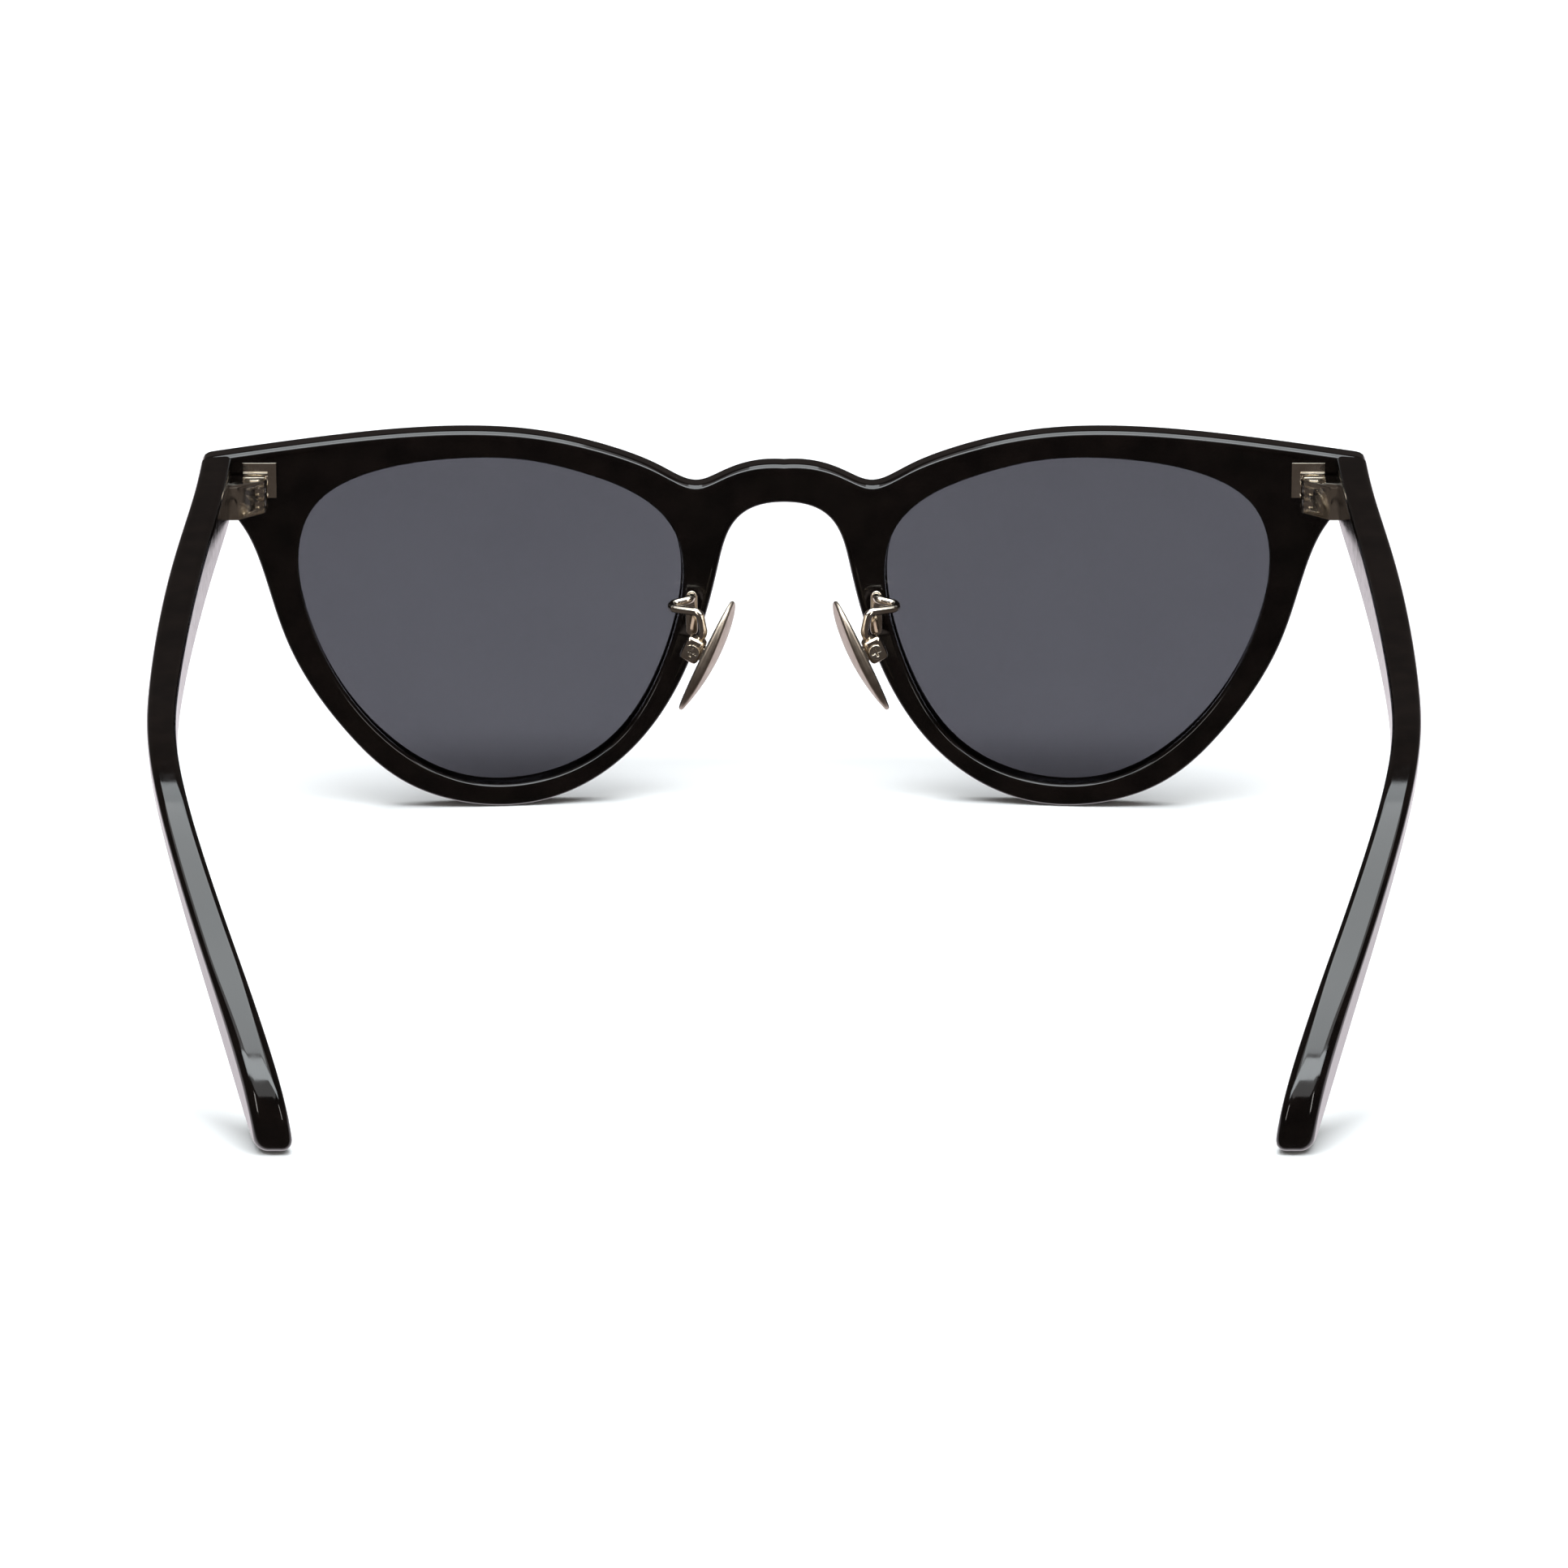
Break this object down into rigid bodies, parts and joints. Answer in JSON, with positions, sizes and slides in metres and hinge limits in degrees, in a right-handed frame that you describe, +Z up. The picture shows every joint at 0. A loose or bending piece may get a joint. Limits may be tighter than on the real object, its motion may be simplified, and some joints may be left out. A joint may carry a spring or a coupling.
{
  "type": "cat eye sunglasses",
  "caption": "Cat eye sunglasses with folding temples, grey dished lenses and rocking metal nose pads.",
  "frame": {"origin": "bottom centre of the box around the open glasses, on the table that they stand on", "axes": "+Z up, the front's outer face looks towards -Y, the temples run towards +Y, +X is the wearer's left"},
  "size_m": [0.1446, 0.1426, 0.0471],
  "materials": {
    "black_acetate": "polished black acetate",
    "grey_lens": "neutral grey tint",
    "hinge_metal": "polished pale nickel",
    "screw_metal": "polished",
    "core_steel": "drawn wire",
    "arm_metal": "polished pale nickel",
    "pad_metal": "satin pewter"
  },
  "bodies": {
    "front": {"front_frame": "black_acetate", "left_lens": "grey_lens", "left_front_hinge": "hinge_metal", "left_pad_mount": "arm_metal", "left_pad_arm": "arm_metal", "left_pad_box": "arm_metal", "left_pad_screw": "screw_metal", "right_lens": "grey_lens", "right_front_hinge": "hinge_metal", "right_pad_mount": "arm_metal", "right_pad_arm": "arm_metal", "right_pad_box": "arm_metal", "right_pad_screw": "screw_metal"},
    "left_temple_body": {"left_temple": "black_acetate", "left_temple_hinge": "hinge_metal", "left_hinge_screw": "screw_metal", "left_core_wire": "core_steel"},
    "left_pad_body": {"left_nose_pad": "pad_metal", "left_pad_lug": "arm_metal"},
    "right_temple_body": {"right_temple": "black_acetate", "right_temple_hinge": "hinge_metal", "right_hinge_screw": "screw_metal", "right_core_wire": "core_steel"},
    "right_pad_body": {"right_nose_pad": "pad_metal", "right_pad_lug": "arm_metal"}
  },
  "joints": [
    {"name": "left_temple_fold", "type": "hinge", "parent": "front", "child": "left_temple_body", "pos_m": [0.0635, -0.05866, 0.041], "axis": [0, 0, 1], "range_deg": [0, 88.5]},
    {"name": "right_temple_fold", "type": "hinge", "parent": "front", "child": "right_temple_body", "pos_m": [-0.0635, -0.05866, 0.041], "axis": [0, 0, -1], "range_deg": [0, 78.5]},
    {"name": "left_pad_rock", "type": "hinge", "parent": "front", "child": "left_pad_body", "pos_m": [0.0108, -0.0613, 0.0211], "axis": [0.2079, 0.9781, 0], "range_deg": [-9, 9]},
    {"name": "right_pad_rock", "type": "hinge", "parent": "front", "child": "right_pad_body", "pos_m": [-0.0108, -0.0613, 0.0211], "axis": [-0.2079, 0.9781, 0], "range_deg": [-9, 9]}
  ]
}
